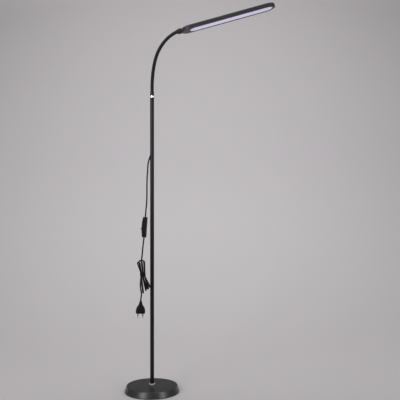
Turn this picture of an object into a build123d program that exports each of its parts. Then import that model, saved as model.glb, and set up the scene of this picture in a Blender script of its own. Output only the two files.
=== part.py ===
from build123d import *
import os
from math import cos, degrees, pi, radians, sin, sqrt, tan

# Gooseneck reading floor lamp. Millimetres.
# Origin: centre of the base's underside, on the floor. +Z is up, +X is the way the head
# reaches, and the lamp is looked at from -Y.

os.makedirs("parts", exist_ok=True)

# ------------------------------------------------------------------ clearances
FIT = 0.05  # radial play of a running, screwed or pressed round fit
SLACK = 0.3  # play round loose inner pieces
TURN_GAP = 0.1  # between flat faces that slide on each other

# ------------------------------------------------------------------ base
BASE_FOOT_R = 104.3  # widest, just above the hem
BASE_TOP_R = 96.6  # at the shoulder, before rounding
BASE_H = 24.0  # top face above the floor
BASE_WALL = 1.2
BASE_BAND_H = 2.4  # upright band over the hem
HEM_LIFT = 1.0  # hem clear of the floor
SHOULDER_ROUND = 3.0
HEM_ROUND = 0.5
PAD_T = 2.0
PAD_INSET = 5.0  # pad edge inside the cover's foot
WEIGHT_POCKET_R = 22.0  # round the bolt head
WEIGHT_POCKET_H = 12.0
RELIEF_INNER_R = 36.0  # ring cast out of the weight's underside
RELIEF_OUTER_R = 86.0
RELIEF_H = 7.0
COLLAR_WALL = 4.05  # bright collar round the pole's foot
COLLAR_H = 7.0
COLLAR_CHAMFER = 2.2

BOLT_R = 5.0
BOLT_HEAD_FLATS = 16.0
BOLT_HEAD_H = 6.4
WASHER_R = 15.0
WASHER_T = 2.0
LOCK_WASHER_R = 8.6
LOCK_WASHER_T = 2.2
LOCK_WASHER_SPLIT = 1.2
BOLT_REACH = 14.0  # into the foot insert

# ------------------------------------------------------------------ pole
POLE_R = 7.5
POLE_WALL = 1.2
LOWER_TUBE_L = 527.0
UPPER_TUBE_L = 565.0
INSERT_L = 20.0  # pressed plugs in the tube ends
STUD_R = 4.0  # screwed joint of the two tubes
STUD_L = 16.0
RING_PROUD = 0.25  # bright ring at the pole's top, beyond the tube
RING_H = 6.0
FERRULE_INSET = 0.2  # black ferrule, inside the tube's outline
FERRULE_H = 16.5
FERRULE_CHAMFER = 1.1
FERRULE_SOCKET = 10.0  # depth that holds the neck
HOLLOW_STUD_R = 4.5
LEAD_BORE_R = 2.9  # way for the supply lead through the metal pieces

# ------------------------------------------------------------------ gooseneck
NECK_R = 6.1
NECK_STEP = 25.9  # one link, pivot to pivot
NECK_TILTS = [0.0, 2.8, 5.5, 9.0, 13.5, 20.5, 29.0, 37.5, 47.0, 59.0]  # links, from upright
BALL_R = 4.9
BALL_PLAY = 0.15
MAX_KINK = 27.0  # greatest turn of one link on the next
RIM_GAP = 0.2  # left between rim and shoulder at that turn
BALL_BARE = 3.0  # degrees of ball left bare above the rim at that turn
END_BALL_TOP = 20.0  # the ball of the end fitting, which doesn't turn
RIBS = 5  # turns shown on a link
RIB_DEPTH = 0.7
RIB_GROOVE = 1.7

# ------------------------------------------------------------------ collar and swivel
HEAD_RISE = 15.5  # degrees, the head's long axis above level
KNUCKLE_R = 10.75
KNUCKLE_MOUTH = 1.0  # reaches back over the last link
KNUCKLE_STEP = 5.0  # a slim sleeve up to here, from the neck's last pivot
KNUCKLE_SLEEVE_R = 8.0
KNUCKLE_L = 16.5
KNUCKLE_ROUND = 2.4
KNUCKLE_FRONT_ROUND = 1.0
FITTING_R = 6.8
FITTING_START = 2.2
FITTING_T = 2.0
SPINDLE_FLANGE_R = 6.8
SPINDLE_FLANGE_T = 1.5
SPINDLE_R = 4.0
SPINDLE_BORE_R = 2.4
SWIVEL_WASHER_R = 9.0
SWIVEL_WASHER_T = 0.6
GRUB_R = 1.5

# ------------------------------------------------------------------ head
HEAD_L = 367.0
HEAD_W = 66.5
HEAD_T = 15.8
HEAD_DROP = 0.9  # middle of the slab below the swivel's axis
HEAD_START = 20.0  # tip of the round end, from the neck's last pivot
TOP_ROUND = 6.0
BOTTOM_ROUND = 1.0
BEZEL_T = 4.0
SEAM_CHAMFER = 0.3  # on both edges where the bezel meets the housing
LUG_R = 9.2
LUG_END = 38.0
LUG_HALF_W = 20.0
HOUSING_WALL = 1.8
HOUSING_ROOF = 2.4
CAVITY_START = 30.5  # solid end block before it holds the spindle
WINDOW_L = 324.0
WINDOW_W = 45.0
WINDOW_CENTRE = 213.7
WINDOW_LIP_T = 0.7
LEDGE = 2.0  # width of the step that carries the diffuser
DIFFUSER_T = 2.0
SNAP_RIM_T = 1.4
SNAP_RIM_H = 4.0
FRAME_WALL = 1.6
BOARD_T = 1.2
PLATE_T = 1.5
BOARD_MARGIN = 1.5  # board edge beyond the light frame's inside
LED_SIZE = (2.8, 3.5, 0.8)
LED_COLUMNS = 18
LED_ROWS = 2
LED_ROW_PITCH = 20.0
LED_PITCH = 16.5
SCREW_R = 1.0
SCREW_HEAD_R = 2.0
SCREW_HEAD_H = 1.1
SCREW_BITE = 1.5
SCREW_COLUMNS = (-130.0, 0.0, 130.0)
DRIVER_L = 14.0
DRIVER_W = 44.0
DRIVER_T = 1.6
WIRE_R = 0.9
WIRE_SPACING = 2.2
CONNECTOR = (6.0, 8.0, 4.6)
CAPACITOR_R = 2.9

# ------------------------------------------------------------------ cord and what is on it
CORD_R = 2.7
OUTLET_Z = 906.0  # where the cord's line leaves the pole's axis
OUTLET_X = -1.0
OUTLET_TILT = 22.0  # degrees from straight down
GLAND_IN = 2.0  # along that line
GLAND_PROUD = 8.65  # beyond the tube's surface, along the cord's line
GLAND_R_IN = 3.9
GLAND_R_OUT = 3.2

SWITCH_CENTRE = (-27.6, -7.0, 624.2)
SWITCH_TILT = 3.9
SWITCH_L = 77.2
SWITCH_W = 26.0
SWITCH_FRONT = (6.6, 10.7, 7.4)  # depth in front of the cord: lower end, middle, upper end
SWITCH_BACK = 8.2
SWITCH_CORNER = 8.0
SWITCH_WALL = 1.8
SWITCH_EDGE = 1.2
SWITCH_HOLLOW_L = 52.0
ROCKER_L = 20.0
ROCKER_W = 13.0
ROCKER_PIVOT = 7.4  # in front of the cord
ROCKER_THROW = 11.0  # degrees either side of level
ROCKER_END_H = 5.2
ROCKER_MID_H = 3.4
ROCKER_ROOT_H = 2.2
ROCKER_PLAY_END = 1.4
ROCKER_PLAY_SIDE = 0.35
ROCKER_PIN_R = 1.2
ROCKER_PIN_L = 17.0
EAR_T = 2.4
EAR_R = 2.6
SWITCH_SCREW_AT = 29.0
SWITCH_SCREW_Y = 8.2
SWITCH_SCREW_R = 1.3
SWITCH_SCREW_HEAD_R = 2.5
SWITCH_SCREW_HEAD_H = 1.6
SWITCH_SCREW_L = 13.0
TERMINAL = (5.0, 8.0, 9.0)
TERMINAL_AT = 17.0
BRIDGE_T = 0.8

HANK_CENTRE = (-33.7, -18.0, 446.6)  # middle of the tied waist
WAIST_PITCH = 6.6
WAIST_HALF = 8.0
HANK_ENTRY = (-4.3, 0.5, 58.4)  # from the waist's middle
HANK_ENTRY_RUN = 9.0
# Waist places in the order that the cord takes them: column to the right, row to the back.
HANK_PLACES = [(0, 0), (1, 0), (1, 1), (1, -1), (0, -1), (0, 1), (-1, 1), (-1, -1), (-1, 0)]
# Loops between those places: first leg, second leg (x, y), and height of the bend.
HANK_LOOPS = [
    ((16.0, 3.0), (22.5, -7.5), -54.4),
    ((5.0, -0.5), (5.0, 16.5), 48.0),
    ((27.5, 6.0), (27.5, -13.0), -47.6),
    ((5.3, -16.5), (-5.3, -7.5), 53.3),
    ((12.2, -10.0), (12.2, 10.5), -60.5),
    ((-4.5, 8.0), (-17.0, 19.0), 50.0),
    ((1.6, 9.0), (1.6, -9.0), -69.6),
    ((-19.5, -14.0), (-12.0, 0.0), 46.0),
]
HANK_BULGE = (-9.8, -1.0, -42.6)  # the last strand, before it turns to the plug
HANK_EXIT = (-6.9, -1.0, -60.0)
TIE_T = 1.2
TIE_H = 5.0
TIE_HEAD = (6.0, 5.0, 4.0)

PLUG_FACE = (-42.6, -19.0, 298.7)
PLUG_TILT = 1.7
PLUG_THICK = 13.7
PLUG_OUTLINE = [(14.7, 0.0), (17.65, 6.6), (17.65, 9.4), (15.9, 15.0), (13.7, 22.0), (8.4, 28.6)]
PLUG_BODY_H = 31.0
PLUG_SHOULDER_Z = 15.0  # the body thins above this
PLUG_NECK_HALF_T = 4.9
PLUG_EDGE = 1.2
RELIEF_L = 48.3  # plug face to the end of the strain relief
RELIEF_R = (5.2, 3.7)
RELIEF_RINGS = 4
RELIEF_GROOVE = 0.6
PIN_SPACING = 18.6
PIN_R = 2.0
PIN_CORE_R = 1.5
PIN_L = 19.0
PIN_SLEEVE_R = 1.9
PIN_SLEEVE_L = 10.0
PIN_ROOT = 12.0

# ------------------------------------------------------------------ places worked out
POLE_BORE_R = POLE_R - POLE_WALL
COLLAR_R = POLE_R + FIT + COLLAR_WALL
RING_R = POLE_R + RING_PROUD
FERRULE_R = POLE_R - FERRULE_INSET
GLAND_OUT = (POLE_R + OUTLET_X) / sin(radians(OUTLET_TILT)) + GLAND_PROUD
SEAM_Z = BASE_H + LOWER_TUBE_L
POLE_TOP = SEAM_Z + UPPER_TUBE_L
RING_TOP = POLE_TOP + RING_H
NECK_START = RING_TOP + FERRULE_H
SHOULDER_Z = (RIM_GAP + NECK_R * sin(radians(MAX_KINK))) / cos(radians(MAX_KINK))
HEAD_TILT = 90.0 - HEAD_RISE


def along(tilt):
    """Unit vector in the X-Z plane, tilted from upright towards +X."""
    return Vector(sin(radians(tilt)), 0, cos(radians(tilt)))


def neck_pivots():
    """The points where link meets link, from the ferrule up to the collar."""
    points = [Vector(0, 0, NECK_START)]
    for tilt in NECK_TILTS:
        points.append(points[-1] + along(tilt) * NECK_STEP)
    return points


PIVOTS = neck_pivots()
KNUCKLE_PLACE = Location(PIVOTS[-1]) * Rot(Y=HEAD_TILT)  # local Z runs along the head
HEAD_PLACE = Location(PIVOTS[-1]) * Rot(Y=-HEAD_RISE)  # local X runs along the head
SWITCH_PLACE = Pos(*SWITCH_CENTRE) * Rot(Y=SWITCH_TILT)
PLUG_PLACE = Pos(*PLUG_FACE) * Rot(Y=PLUG_TILT)


# ------------------------------------------------------------------ shared shapes
def turned(points):
    """A solid turned about Z from a closed outline of (radius, height) points."""
    outline = Polyline(*[(r, 0, z) for r, z in points], close=True)
    return revolve(make_face(outline), Axis.Z)


def ring(outer_r, inner_r, z_low, z_high):
    """A plain ring about Z."""
    return turned([(inner_r, z_low), (outer_r, z_low), (outer_r, z_high), (inner_r, z_high)])


def rod(radius, z_low, z_high):
    """A plain round bar about Z."""
    return Pos(0, 0, z_low) * extrude(Circle(radius), z_high - z_low)


def block(x, y, z):
    """A box from three (low, high) pairs."""
    size = [pair[1] - pair[0] for pair in (x, y, z)]
    middle = [(pair[0] + pair[1]) / 2 for pair in (x, y, z)]
    return Pos(*middle) * Box(*size)


def stadium(length, width, z_low, z_high, centre):
    """A round-ended slab along X."""
    return Pos(centre, 0, z_low) * extrude(SlotOverall(length, width), z_high - z_low)


def edges_at(solid, z):
    """The edges that lie level at one height."""
    return solid.edges().filter_by_position(Axis.Z, z - 0.001, z + 0.001)


def corner_radii(points):
    """The largest arc that each corner of a route leaves room for."""
    radii = []
    for before, here, after in zip(points, points[1:], points[2:]):
        inward, outward = here - before, after - here
        turn = radians(inward.get_angle(outward))
        radii.append(0.45 * min(inward.length, outward.length) / tan(turn / 2))
    return radii


def cord_tube(name, points, radius=CORD_R):
    """A tube of straight runs joined by tangent arcs, with its measure printed."""
    points = [Vector(*point) for point in points]
    radii = corner_radii(points)
    path = FilletPolyline(*points, radius=radii)
    tube = sweep(Plane(origin=path @ 0, z_dir=path % 0) * Circle(radius), path=path)
    wanted = pi * radius**2 * path.length
    print(name, "length", round(path.length, 1), "volume ratio", round(tube.volume / wanted, 5))
    print(name, "radii", [round(r, 1) for r in radii])
    return tube, path


def least_self_gap(path, radius, step=1.5):
    """Least free space between parts of a tube that are not neighbours along it."""
    count = int(path.length / step)
    points = [path @ (i / count) for i in range(count + 1)]
    spacing = path.length / count
    skip = int(3.5 * 2 * radius / spacing)
    return min(
        (points[i] - points[j]).length
        for i in range(len(points))
        for j in range(i + skip, len(points))
    ) - 2 * radius


# ------------------------------------------------------------------ base
def cover_inner_r(z):
    """Inside radius of the cover's slanted wall at a height."""
    band_top = HEM_LIFT + BASE_BAND_H
    share = max(0.0, (z - band_top) / (BASE_H - band_top))
    return BASE_FOOT_R - BASE_WALL - share * (BASE_FOOT_R - BASE_TOP_R)


def base_cover():
    band_top = HEM_LIFT + BASE_BAND_H
    shape = turned(
        [(0, HEM_LIFT), (BASE_FOOT_R, HEM_LIFT), (BASE_FOOT_R, band_top),
         (BASE_TOP_R, BASE_H), (0, BASE_H)]
    )
    shape = fillet(edges_at(shape, BASE_H), SHOULDER_ROUND)
    shape = fillet(edges_at(shape, HEM_LIFT), HEM_ROUND)
    roof = BASE_H - BASE_WALL
    hollow = turned(
        [(0, 0), (cover_inner_r(0), 0), (cover_inner_r(band_top), band_top),
         (cover_inner_r(roof), roof), (0, roof)]
    )
    hollow = fillet(edges_at(hollow, roof), SHOULDER_ROUND - BASE_WALL)
    return shape - hollow - rod(BOLT_R + SLACK, 0, BASE_H + 1)


def base_weight():
    roof = BASE_H - BASE_WALL
    foot_r = cover_inner_r(PAD_T) - SLACK
    top_r = cover_inner_r(roof) - SHOULDER_ROUND
    chamfer_z = roof - SHOULDER_ROUND
    shape = turned(
        [(0, PAD_T), (foot_r, PAD_T), (cover_inner_r(chamfer_z) - SLACK, chamfer_z),
         (top_r, roof), (0, roof)]
    )
    shape -= ring(RELIEF_OUTER_R, RELIEF_INNER_R, 0, PAD_T + RELIEF_H)
    shape -= rod(WEIGHT_POCKET_R, 0, PAD_T + WEIGHT_POCKET_H)
    return shape - rod(BOLT_R + SLACK, 0, BASE_H)


def base_pad():
    return rod(BASE_FOOT_R - PAD_INSET, 0, PAD_T)


def base_collar():
    collar = ring(COLLAR_R, POLE_R + FIT, BASE_H, BASE_H + COLLAR_H)
    top = edges_at(collar, BASE_H + COLLAR_H).sort_by(SortBy.LENGTH)[-1]
    return chamfer(top, COLLAR_CHAMFER)


WASHER_TOP = PAD_T + WEIGHT_POCKET_H
LOCK_TOP = WASHER_TOP - WASHER_T
HEAD_TOP = LOCK_TOP - LOCK_WASHER_T


def base_washer():
    return ring(WASHER_R, BOLT_R + SLACK, LOCK_TOP, WASHER_TOP)


def base_lock_washer():
    washer = ring(LOCK_WASHER_R, BOLT_R + FIT, HEAD_TOP, LOCK_TOP)
    return washer - block((0, 2 * LOCK_WASHER_R), (0, LOCK_WASHER_SPLIT), (0, BASE_H))


def base_bolt():
    head = Pos(0, 0, HEAD_TOP - BOLT_HEAD_H) * extrude(
        RegularPolygon(BOLT_HEAD_FLATS / 2, 6, major_radius=False), BOLT_HEAD_H
    )
    return head + rod(BOLT_R, HEAD_TOP - 1, BASE_H + BOLT_REACH)


# ------------------------------------------------------------------ pole
def foot_insert():
    return ring(POLE_BORE_R - FIT, BOLT_R + FIT, BASE_H, BASE_H + INSERT_L)


def outlet_axis():
    """Place on the cord's line where it leaves the pole, local Z pointing out along it."""
    return Pos(OUTLET_X, 0, OUTLET_Z) * Rot(Y=180 + OUTLET_TILT)


def gland_shape(grow):
    tip, root = GLAND_R_OUT + grow, GLAND_R_IN + grow
    return outlet_axis() * turned([(0, GLAND_IN), (root, GLAND_IN), (tip, GLAND_OUT), (0, GLAND_OUT)])


def cord_gland():
    return gland_shape(0) - pole_lead()


def pole_lower():
    return ring(POLE_R, POLE_BORE_R, BASE_H, SEAM_Z)


def pole_upper():
    return ring(POLE_R, POLE_BORE_R, SEAM_Z, POLE_TOP) - gland_shape(FIT)


def pole_socket():
    return ring(POLE_BORE_R - FIT, STUD_R + FIT, SEAM_Z - INSERT_L, SEAM_Z)


def pole_stud():
    return rod(POLE_BORE_R - FIT, SEAM_Z, SEAM_Z + INSERT_L) + rod(STUD_R, SEAM_Z - STUD_L, SEAM_Z + 1)


def top_insert():
    return ring(POLE_BORE_R - FIT, HOLLOW_STUD_R + FIT, POLE_TOP - INSERT_L, POLE_TOP)


def pole_ring():
    return ring(RING_R, HOLLOW_STUD_R + FIT, POLE_TOP, RING_TOP)


def neck_stud():
    return ring(HOLLOW_STUD_R, LEAD_BORE_R, POLE_TOP - INSERT_L + 2, NECK_START - FERRULE_SOCKET)


def neck_ferrule():
    ferrule = ring(FERRULE_R, HOLLOW_STUD_R + FIT, RING_TOP, NECK_START)
    ferrule -= rod(NECK_R + FIT, NECK_START - FERRULE_SOCKET, NECK_START + 1)
    rim = edges_at(ferrule, NECK_START).sort_by(SortBy.LENGTH)[-1]
    return chamfer(rim, FERRULE_CHAMFER)


def pole_lead():
    """From the gland's mouth into the pole and up to the neck's stud."""
    line = outlet_axis()
    points = [(line * Pos(0, 0, z)).position for z in (GLAND_OUT, -4.0)]
    return cord_tube("pole_lead", points + [Vector(0, 0, NECK_START - FERRULE_SOCKET)])[0]


# ------------------------------------------------------------------ gooseneck
def ball_arc(top=MAX_KINK + BALL_BARE):
    """Outline of a ball about the origin, from its bore up to so many degrees above its equator."""
    foot = (LEAD_BORE_R, 0, -sqrt(BALL_R**2 - LEAD_BORE_R**2))
    crown = (BALL_R * cos(radians(top)), 0, BALL_R * sin(radians(top)))
    return ThreePointArc(foot, (BALL_R, 0, 0), crown)


def turned_from(lines):
    """A solid turned about Z from the lines and arcs of a closed outline."""
    return revolve(make_face(Wire([edge for line in lines for edge in line.edges()])), Axis.Z)


def link_outline(foot_z, plain_foot):
    """Side of a link from its foot up to the rim, with its turns as shallow grooves."""
    points = []
    start = foot_z if plain_foot else SHOULDER_Z
    pitch = (NECK_STEP - SHOULDER_Z) / RIBS
    for turn in range(1, RIBS):
        middle = SHOULDER_Z + turn * pitch
        points += [(NECK_R, middle - RIB_GROOVE / 2), (NECK_R - RIB_DEPTH, middle),
                   (NECK_R, middle + RIB_GROOVE / 2)]
    return [(NECK_R, start)] + points + [(NECK_R, NECK_STEP)]


def neck_link(index):
    """One length of the wound neck: a ball below, a cup above, a bore for the lead."""
    cup_r = BALL_R + BALL_PLAY
    cup_floor = NECK_STEP - sqrt(cup_r**2 - LEAD_BORE_R**2)
    plain_foot = index == 0
    foot_z = -FERRULE_SOCKET if plain_foot else (ball_arc() @ 0).Z
    side = link_outline(foot_z, plain_foot)
    lines = [Line((LEAD_BORE_R, 0, cup_floor), (LEAD_BORE_R, 0, foot_z))]
    if plain_foot:
        lines.append(Line((LEAD_BORE_R, 0, foot_z), (NECK_R, 0, foot_z)))
    else:
        lines.append(ball_arc())
        lines.append(Line(ball_arc() @ 1, (NECK_R, 0, SHOULDER_Z)))
    lines.append(Polyline(*[(r, 0, z) for r, z in side]))
    lines.append(Line((NECK_R, 0, NECK_STEP), (cup_r, 0, NECK_STEP)))
    slope = radians(45)
    low = (cup_r * cos(slope), 0, NECK_STEP - cup_r * sin(slope))
    lines.append(ThreePointArc((cup_r, 0, NECK_STEP), low, (LEAD_BORE_R, 0, cup_floor)))
    return Location(PIVOTS[index]) * Rot(Y=NECK_TILTS[index]) * turned_from(lines)


# ------------------------------------------------------------------ collar and swivel
FITTING_END = FITTING_START + FITTING_T
FLANGE_START = FITTING_END + TURN_GAP
FLANGE_END = FLANGE_START + SPINDLE_FLANGE_T
KNUCKLE_FRONT = KNUCKLE_L - KNUCKLE_MOUTH
LUG_START = KNUCKLE_FRONT + TURN_GAP + SWIVEL_WASHER_T


def neck_end_fitting():
    """Ball and disc that end the neck inside the collar."""
    ball = ball_arc(END_BALL_TOP)
    foot, crown = ball @ 0, ball @ 1
    side = [(crown.X, crown.Z), (crown.X, FITTING_START), (FITTING_R, FITTING_START),
            (FITTING_R, FITTING_END), (LEAD_BORE_R, FITTING_END), (foot.X, foot.Z)]
    return KNUCKLE_PLACE * turned_from([ball, Polyline(*[(r, 0, z) for r, z in side])])


def neck_collar():
    collar = rod(KNUCKLE_R, KNUCKLE_STEP, KNUCKLE_FRONT)
    collar = fillet(edges_at(collar, KNUCKLE_STEP), KNUCKLE_ROUND)
    collar = fillet(edges_at(collar, KNUCKLE_FRONT), KNUCKLE_FRONT_ROUND)
    collar += rod(KNUCKLE_SLEEVE_R, -KNUCKLE_MOUTH, KNUCKLE_STEP + KNUCKLE_ROUND)
    collar -= rod(FITTING_R + FIT, -KNUCKLE_MOUTH - 1, FITTING_END)
    collar -= rod(SPINDLE_FLANGE_R + SLACK, 0, FLANGE_END + TURN_GAP)
    return KNUCKLE_PLACE * (collar - rod(SPINDLE_R + FIT, 0, KNUCKLE_L))


def head_spindle():
    spindle = rod(SPINDLE_FLANGE_R, FLANGE_START, FLANGE_END)
    spindle += rod(SPINDLE_R, FLANGE_START, CAVITY_START)
    return KNUCKLE_PLACE * (spindle - rod(SPINDLE_BORE_R, 0, CAVITY_START + 1))


def swivel_washer():
    return KNUCKLE_PLACE * ring(SWIVEL_WASHER_R, SPINDLE_R + FIT, LUG_START - SWIVEL_WASHER_T, LUG_START)


# ------------------------------------------------------------------ head
HEAD_CENTRE = HEAD_START + HEAD_L / 2
ROOF = HEAD_T / 2 - HEAD_DROP
FLOOR = ROOF - HEAD_T
SPLIT = FLOOR + BEZEL_T  # housing above, bezel below
CEILING = ROOF - HOUSING_ROOF
LIP_TOP = FLOOR + WINDOW_LIP_T
DIFFUSER_TOP = LIP_TOP + DIFFUSER_T
PLATE_LOW = CEILING - PLATE_T
BOARD_LOW = PLATE_LOW - BOARD_T
PANEL_L = WINDOW_L + 2 * LEDGE  # diffuser and light frame
PANEL_W = WINDOW_W + 2 * LEDGE
BOARD_L = PANEL_L - 2 * FRAME_WALL + 2 * BOARD_MARGIN
BOARD_W = PANEL_W - 2 * FRAME_WALL + 2 * BOARD_MARGIN
GRUB_AT = (LUG_START + CAVITY_START) / 2
DRIVER_START = CAVITY_START + 2.0


def cross_section(x, sketch):
    """A sketch stood up across the head's long axis."""
    return Plane(origin=(x, 0, 0), x_dir=(0, 1, 0), z_dir=(1, 0, 0)) * sketch


def lug():
    """Round neck of the housing, flattening into the flat head."""
    return loft([cross_section(LUG_START, Circle(LUG_R)),
                 cross_section(LUG_END, Ellipse(LUG_HALF_W, ROOF - FIT))])


def spindle_bore():
    return Rot(Y=90) * rod(SPINDLE_R + FIT, 0, CAVITY_START)


def cavity(low):
    """Hollow of the housing, closed at the neck end by the block that holds the spindle."""
    inside = stadium(HEAD_L - 2 * HOUSING_WALL, HEAD_W - 2 * HOUSING_WALL, low, CEILING, HEAD_CENTRE)
    return inside & block((CAVITY_START, HEAD_START + HEAD_L), (-HEAD_W, HEAD_W), (low, CEILING))


def grub_hole():
    return Pos(GRUB_AT, 0, 0) * rod(GRUB_R + FIT, -2 * LUG_R, 0)


def head_housing():
    shell = stadium(HEAD_L, HEAD_W, SPLIT, ROOF, HEAD_CENTRE)
    shell = fillet(edges_at(shell, ROOF), TOP_ROUND)
    shell = chamfer(edges_at(shell, SPLIT), SEAM_CHAMFER)
    shell += lug()
    return HEAD_PLACE * (shell - cavity(SPLIT) - spindle_bore() - grub_hole())


def head_bezel():
    plate = stadium(HEAD_L, HEAD_W, FLOOR, SPLIT, HEAD_CENTRE)
    plate = fillet(edges_at(plate, FLOOR), BOTTOM_ROUND)
    plate = chamfer(edges_at(plate, SPLIT), SEAM_CHAMFER)
    rim_l = HEAD_L - 2 * (HOUSING_WALL + SLACK)
    rim_w = HEAD_W - 2 * (HOUSING_WALL + SLACK)
    rim = stadium(rim_l, rim_w, SPLIT, SPLIT + SNAP_RIM_H, HEAD_CENTRE)
    rim -= stadium(rim_l - 2 * SNAP_RIM_T, rim_w - 2 * SNAP_RIM_T, SPLIT, ROOF, HEAD_CENTRE)
    rim &= block((LUG_END + SLACK, HEAD_START + HEAD_L), (-HEAD_W, HEAD_W), (SPLIT, ROOF))
    plate += rim
    plate -= stadium(WINDOW_L, WINDOW_W, FLOOR - 1, ROOF, WINDOW_CENTRE)
    plate -= stadium(PANEL_L + 2 * FIT, PANEL_W + 2 * FIT, LIP_TOP, ROOF, WINDOW_CENTRE)
    pocket = block((DRIVER_START, DRIVER_START + DRIVER_L), (-DRIVER_W / 2, DRIVER_W / 2),
                   (FLOOR + HOUSING_WALL, ROOF))
    return HEAD_PLACE * (plate - pocket - lug_clearance())


def lug_clearance():
    """Room for the housing's lug and end block in the bezel."""
    grown = loft([cross_section(LUG_START, Circle(LUG_R + FIT)),
                  cross_section(LUG_END + FIT, Ellipse(LUG_HALF_W + FIT, ROOF))])
    return grown


def diffuser():
    return HEAD_PLACE * stadium(PANEL_L, PANEL_W, LIP_TOP, DIFFUSER_TOP, WINDOW_CENTRE)


def light_frame():
    frame = stadium(PANEL_L, PANEL_W, DIFFUSER_TOP, BOARD_LOW, WINDOW_CENTRE)
    inner_l, inner_w = PANEL_L - 2 * FRAME_WALL, PANEL_W - 2 * FRAME_WALL
    return HEAD_PLACE * (frame - stadium(inner_l, inner_w, FLOOR, ROOF, WINDOW_CENTRE))


def screw_places():
    return [(WINDOW_CENTRE + x, 0) for x in SCREW_COLUMNS]


def led_board():
    board = stadium(BOARD_L, BOARD_W, BOARD_LOW, PLATE_LOW, WINDOW_CENTRE)
    for x, y in screw_places():
        board -= Pos(x, y, 0) * rod(SCREW_R + FIT, 0, ROOF)
    return HEAD_PLACE * board


def heat_plate():
    plate = stadium(BOARD_L, BOARD_W, PLATE_LOW, CEILING, WINDOW_CENTRE)
    for x, y in screw_places():
        plate -= Pos(x, y, 0) * rod(SCREW_R + FIT, 0, ROOF)
    return HEAD_PLACE * plate


def leds():
    """Two rows of light-emitting chips under the board."""
    chips = []
    for column in range(LED_COLUMNS):
        for row in range(LED_ROWS):
            x = WINDOW_CENTRE + (column - (LED_COLUMNS - 1) / 2) * LED_PITCH
            y = (row - (LED_ROWS - 1) / 2) * LED_ROW_PITCH
            chips.append(HEAD_PLACE * Pos(x, y, BOARD_LOW - LED_SIZE[2] / 2) * Box(*LED_SIZE))
    return chips


def board_screws():
    screws = []
    for x, y in screw_places():
        screw = rod(SCREW_HEAD_R, BOARD_LOW - SCREW_HEAD_H, BOARD_LOW)
        screw += rod(SCREW_R, BOARD_LOW - SCREW_HEAD_H / 2, CEILING + SCREW_BITE)
        screws.append(HEAD_PLACE * Pos(x, y, 0) * screw)
    return screws


def screw_holes():
    holes = [HEAD_PLACE * Pos(x, y, 0) * rod(SCREW_R, 0, CEILING + SCREW_BITE) for x, y in screw_places()]
    return holes


def driver_board():
    low = CEILING - DRIVER_T
    return HEAD_PLACE * block((DRIVER_START, DRIVER_START + DRIVER_L),
                              (-DRIVER_W / 2, DRIVER_W / 2), (low, CEILING))


def driver_parts():
    """Transformer, capacitor, coil and connector hanging under the driver board."""
    low = CEILING - DRIVER_T
    middle = DRIVER_START + DRIVER_L / 2
    transformer = block((middle - 6, middle + 6), (8, 21), (low - 6, low))
    capacitor = Pos(middle - 6, -12, low - CAPACITOR_R) * Rot(Y=90) * rod(CAPACITOR_R, 0, 12)
    coil = Pos(middle + 4, -19.4, low) * rod(2.5, -5, 0)
    connector = block(
        (DRIVER_START + 5, DRIVER_START + 5 + CONNECTOR[0]),
        (-CONNECTOR[1] / 2, CONNECTOR[1] / 2), (low - CONNECTOR[2], low))
    return [HEAD_PLACE * piece for piece in (transformer, capacitor, coil, connector)]


def head_leads():
    """The two cores from the swivel to the driver's connector."""
    start = FLANGE_END
    end = DRIVER_START + 5
    core = Rot(Y=90) * rod(WIRE_R, start, end)
    return [HEAD_PLACE * Pos(0, side * WIRE_SPACING / 2, 0) * core for side in (-1, 1)]


def spindle_screw():
    return HEAD_PLACE * Pos(GRUB_AT, 0, 0) * rod(GRUB_R, -LUG_R + 1.5, -SPINDLE_R)


# ------------------------------------------------------------------ in-line switch
def switch_block():
    """Outer form of the switch: arched in front, flat behind, round-cornered from the front."""
    half = SWITCH_L / 2
    low, middle, high = SWITCH_FRONT
    side = make_face(Wire([
        *ThreePointArc((-low, 0, -half), (-middle, 0, 0), (-high, 0, half)).edges(),
        *Polyline((-high, 0, half), (SWITCH_BACK, 0, half), (SWITCH_BACK, 0, -half),
                  (-low, 0, -half)).edges(),
    ]))
    slab = extrude(side, SWITCH_W / 2, both=True, dir=(0, 1, 0))
    outline = Plane.YZ * RectangleRounded(SWITCH_W, SWITCH_L, SWITCH_CORNER)
    shape = slab & extrude(outline, SWITCH_W, both=True)
    back_edges = shape.edges().filter_by_position(Axis.X, SWITCH_BACK - 0.001, SWITCH_BACK + 0.001)
    return fillet(back_edges, SWITCH_EDGE)


def switch_hollow():
    depth = SWITCH_FRONT[1] - SWITCH_WALL - 1.0
    half_w = SWITCH_W / 2 - SWITCH_WALL
    half_l = SWITCH_HOLLOW_L / 2
    return block((-depth, SWITCH_BACK - SWITCH_WALL), (-half_w, half_w), (-half_l, half_l))


def switch_screw(grow):
    """Screw through the back shell into the front one."""
    seat = SWITCH_BACK - SWITCH_SCREW_HEAD_H - 0.2
    head = Rot(Y=90) * rod(SWITCH_SCREW_HEAD_R + grow, seat, seat + SWITCH_SCREW_HEAD_H + 4 * grow)
    shank = Rot(Y=90) * rod(SWITCH_SCREW_R + grow, seat - SWITCH_SCREW_L, seat + 0.5)
    return head + shank


def switch_screw_places():
    return [Pos(0, side * SWITCH_SCREW_Y, -side * SWITCH_SCREW_AT) for side in (-1, 1)]


def switch_shell(front):
    shell = switch_block() - switch_hollow()
    keep = (-SWITCH_W, 0) if front else (0, SWITCH_W)
    shell &= block(keep, (-SWITCH_W, SWITCH_W), (-SWITCH_L, SWITCH_L))
    for place in switch_screw_places():
        shell -= place * switch_screw(FIT)
    return shell


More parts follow.
